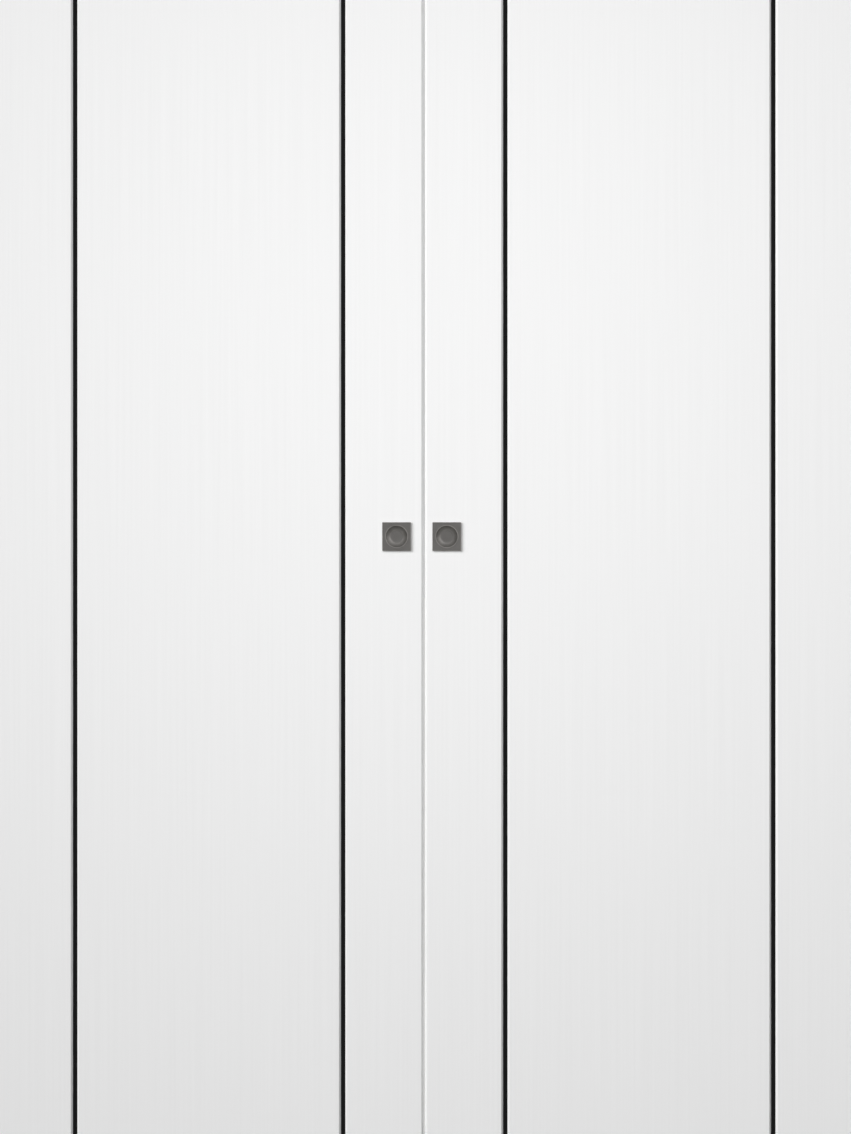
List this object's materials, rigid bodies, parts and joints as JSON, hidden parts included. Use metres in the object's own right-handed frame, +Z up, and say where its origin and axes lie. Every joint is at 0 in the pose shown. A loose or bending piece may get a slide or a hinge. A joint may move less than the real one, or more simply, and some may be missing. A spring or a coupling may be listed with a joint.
{
  "type": "double sliding door",
  "caption": "Flush white door leaves with inlaid upright grooves and square dished pulls, hung on wheeled carriages in an overhead track and parting from the middle.",
  "frame": {"origin": "on the floor, at the middle of the pair of leaves, in the leaves' mid-plane", "axes": "+X to the right along the track, +Y through the leaves from the front to the back, +Z up"},
  "size_m": [2.8956, 0.0518, 2.1],
  "materials": {
    "white_lacquer": "fibreboard with satin white lacquer",
    "black_strip": "matt black strip",
    "gunmetal": "cast zinc with satin gunmetal plating",
    "pine": "planed, bare",
    "chipboard": "extruded, bare",
    "anodised_aluminium": "satin anodised",
    "zinc_steel": "zinc plated",
    "die_cast_zinc": "die cast, tumbled",
    "white_nylon": "moulded nylon",
    "black_rubber": "moulded rubber"
  },
  "bodies": {
    "track_and_guides": {"top_track": "anodised_aluminium", "centre_stop": "white_nylon", "left_end_stop": "die_cast_zinc", "right_end_stop": "die_cast_zinc", "left_end_buffer": "black_rubber", "right_end_buffer": "black_rubber", "left_floor_guide": "white_nylon", "right_floor_guide": "white_nylon"},
    "left_leaf": {"left_front_skin": "white_lacquer", "left_back_skin": "white_lacquer", "left_inner_edge_band": "white_lacquer", "left_outer_edge_band": "white_lacquer", "left_inner_stile": "pine", "left_outer_stile": "pine", "left_top_rail": "pine", "left_bottom_rail": "pine", "left_core": "chipboard", "left_front_inner_inlay": "black_strip", "left_front_outer_inlay": "black_strip", "left_back_inner_inlay": "black_strip", "left_back_outer_inlay": "black_strip", "left_guide_channel": "anodised_aluminium", "left_front_pull": "gunmetal", "left_back_pull": "gunmetal", "left_inner_hanger_plate": "zinc_steel", "left_outer_hanger_plate": "zinc_steel", "left_inner_hanging_bolt": "zinc_steel", "left_outer_hanging_bolt": "zinc_steel", "left_inner_carriage": "die_cast_zinc", "left_outer_carriage": "die_cast_zinc"},
    "right_leaf": {"right_front_skin": "white_lacquer", "right_back_skin": "white_lacquer", "right_inner_edge_band": "white_lacquer", "right_outer_edge_band": "white_lacquer", "right_inner_stile": "pine", "right_outer_stile": "pine", "right_top_rail": "pine", "right_bottom_rail": "pine", "right_core": "chipboard", "right_front_inner_inlay": "black_strip", "right_front_outer_inlay": "black_strip", "right_back_inner_inlay": "black_strip", "right_back_outer_inlay": "black_strip", "right_guide_channel": "anodised_aluminium", "right_front_pull": "gunmetal", "right_back_pull": "gunmetal", "right_inner_hanger_plate": "zinc_steel", "right_outer_hanger_plate": "zinc_steel", "right_inner_hanging_bolt": "zinc_steel", "right_outer_hanging_bolt": "zinc_steel", "right_inner_carriage": "die_cast_zinc", "right_outer_carriage": "die_cast_zinc"},
    "left_inner_near_wheels": {"left_inner_near_wheelset": "white_nylon"},
    "left_inner_far_wheels": {"left_inner_far_wheelset": "white_nylon"},
    "left_outer_near_wheels": {"left_outer_near_wheelset": "white_nylon"},
    "left_outer_far_wheels": {"left_outer_far_wheelset": "white_nylon"},
    "right_inner_near_wheels": {"right_inner_near_wheelset": "white_nylon"},
    "right_inner_far_wheels": {"right_inner_far_wheelset": "white_nylon"},
    "right_outer_near_wheels": {"right_outer_near_wheelset": "white_nylon"},
    "right_outer_far_wheels": {"right_outer_far_wheelset": "white_nylon"}
  },
  "joints": [
    {"name": "left_leaf_slide", "type": "slide", "parent": "track_and_guides", "child": "left_leaf", "axis": [-1, 0, 0], "range_m": [0, 0.665]},
    {"name": "right_leaf_slide", "type": "slide", "parent": "track_and_guides", "child": "right_leaf", "axis": [1, 0, 0], "range_m": [0, 0.665]},
    {"name": "left_inner_near_roll", "type": "hinge", "parent": "left_leaf", "child": "left_inner_near_wheels", "pos_m": [-0.043, 0, 2.0803], "axis": [0, -1, 0], "continuous": true},
    {"name": "left_inner_far_roll", "type": "hinge", "parent": "left_leaf", "child": "left_inner_far_wheels", "pos_m": [-0.083, 0, 2.0803], "axis": [0, -1, 0], "continuous": true},
    {"name": "left_outer_near_roll", "type": "hinge", "parent": "left_leaf", "child": "left_outer_near_wheels", "pos_m": [-0.681, 0, 2.0803], "axis": [0, -1, 0], "continuous": true},
    {"name": "left_outer_far_roll", "type": "hinge", "parent": "left_leaf", "child": "left_outer_far_wheels", "pos_m": [-0.721, 0, 2.0803], "axis": [0, -1, 0], "continuous": true},
    {"name": "right_inner_near_roll", "type": "hinge", "parent": "right_leaf", "child": "right_inner_near_wheels", "pos_m": [0.043, 0, 2.0803], "axis": [0, 1, 0], "continuous": true},
    {"name": "right_inner_far_roll", "type": "hinge", "parent": "right_leaf", "child": "right_inner_far_wheels", "pos_m": [0.083, 0, 2.0803], "axis": [0, 1, 0], "continuous": true},
    {"name": "right_outer_near_roll", "type": "hinge", "parent": "right_leaf", "child": "right_outer_near_wheels", "pos_m": [0.681, 0, 2.0803], "axis": [0, 1, 0], "continuous": true},
    {"name": "right_outer_far_roll", "type": "hinge", "parent": "right_leaf", "child": "right_outer_far_wheels", "pos_m": [0.721, 0, 2.0803], "axis": [0, 1, 0], "continuous": true}
  ],
  "couplings": [
    {"joint": "left_inner_near_roll", "follows": "left_leaf_slide", "rad_per_m": 90.909},
    {"joint": "left_inner_far_roll", "follows": "left_leaf_slide", "rad_per_m": 90.909},
    {"joint": "left_outer_near_roll", "follows": "left_leaf_slide", "rad_per_m": 90.909},
    {"joint": "left_outer_far_roll", "follows": "left_leaf_slide", "rad_per_m": 90.909},
    {"joint": "right_inner_near_roll", "follows": "right_leaf_slide", "rad_per_m": 90.909},
    {"joint": "right_inner_far_roll", "follows": "right_leaf_slide", "rad_per_m": 90.909},
    {"joint": "right_outer_near_roll", "follows": "right_leaf_slide", "rad_per_m": 90.909},
    {"joint": "right_outer_far_roll", "follows": "right_leaf_slide", "rad_per_m": 90.909}
  ]
}
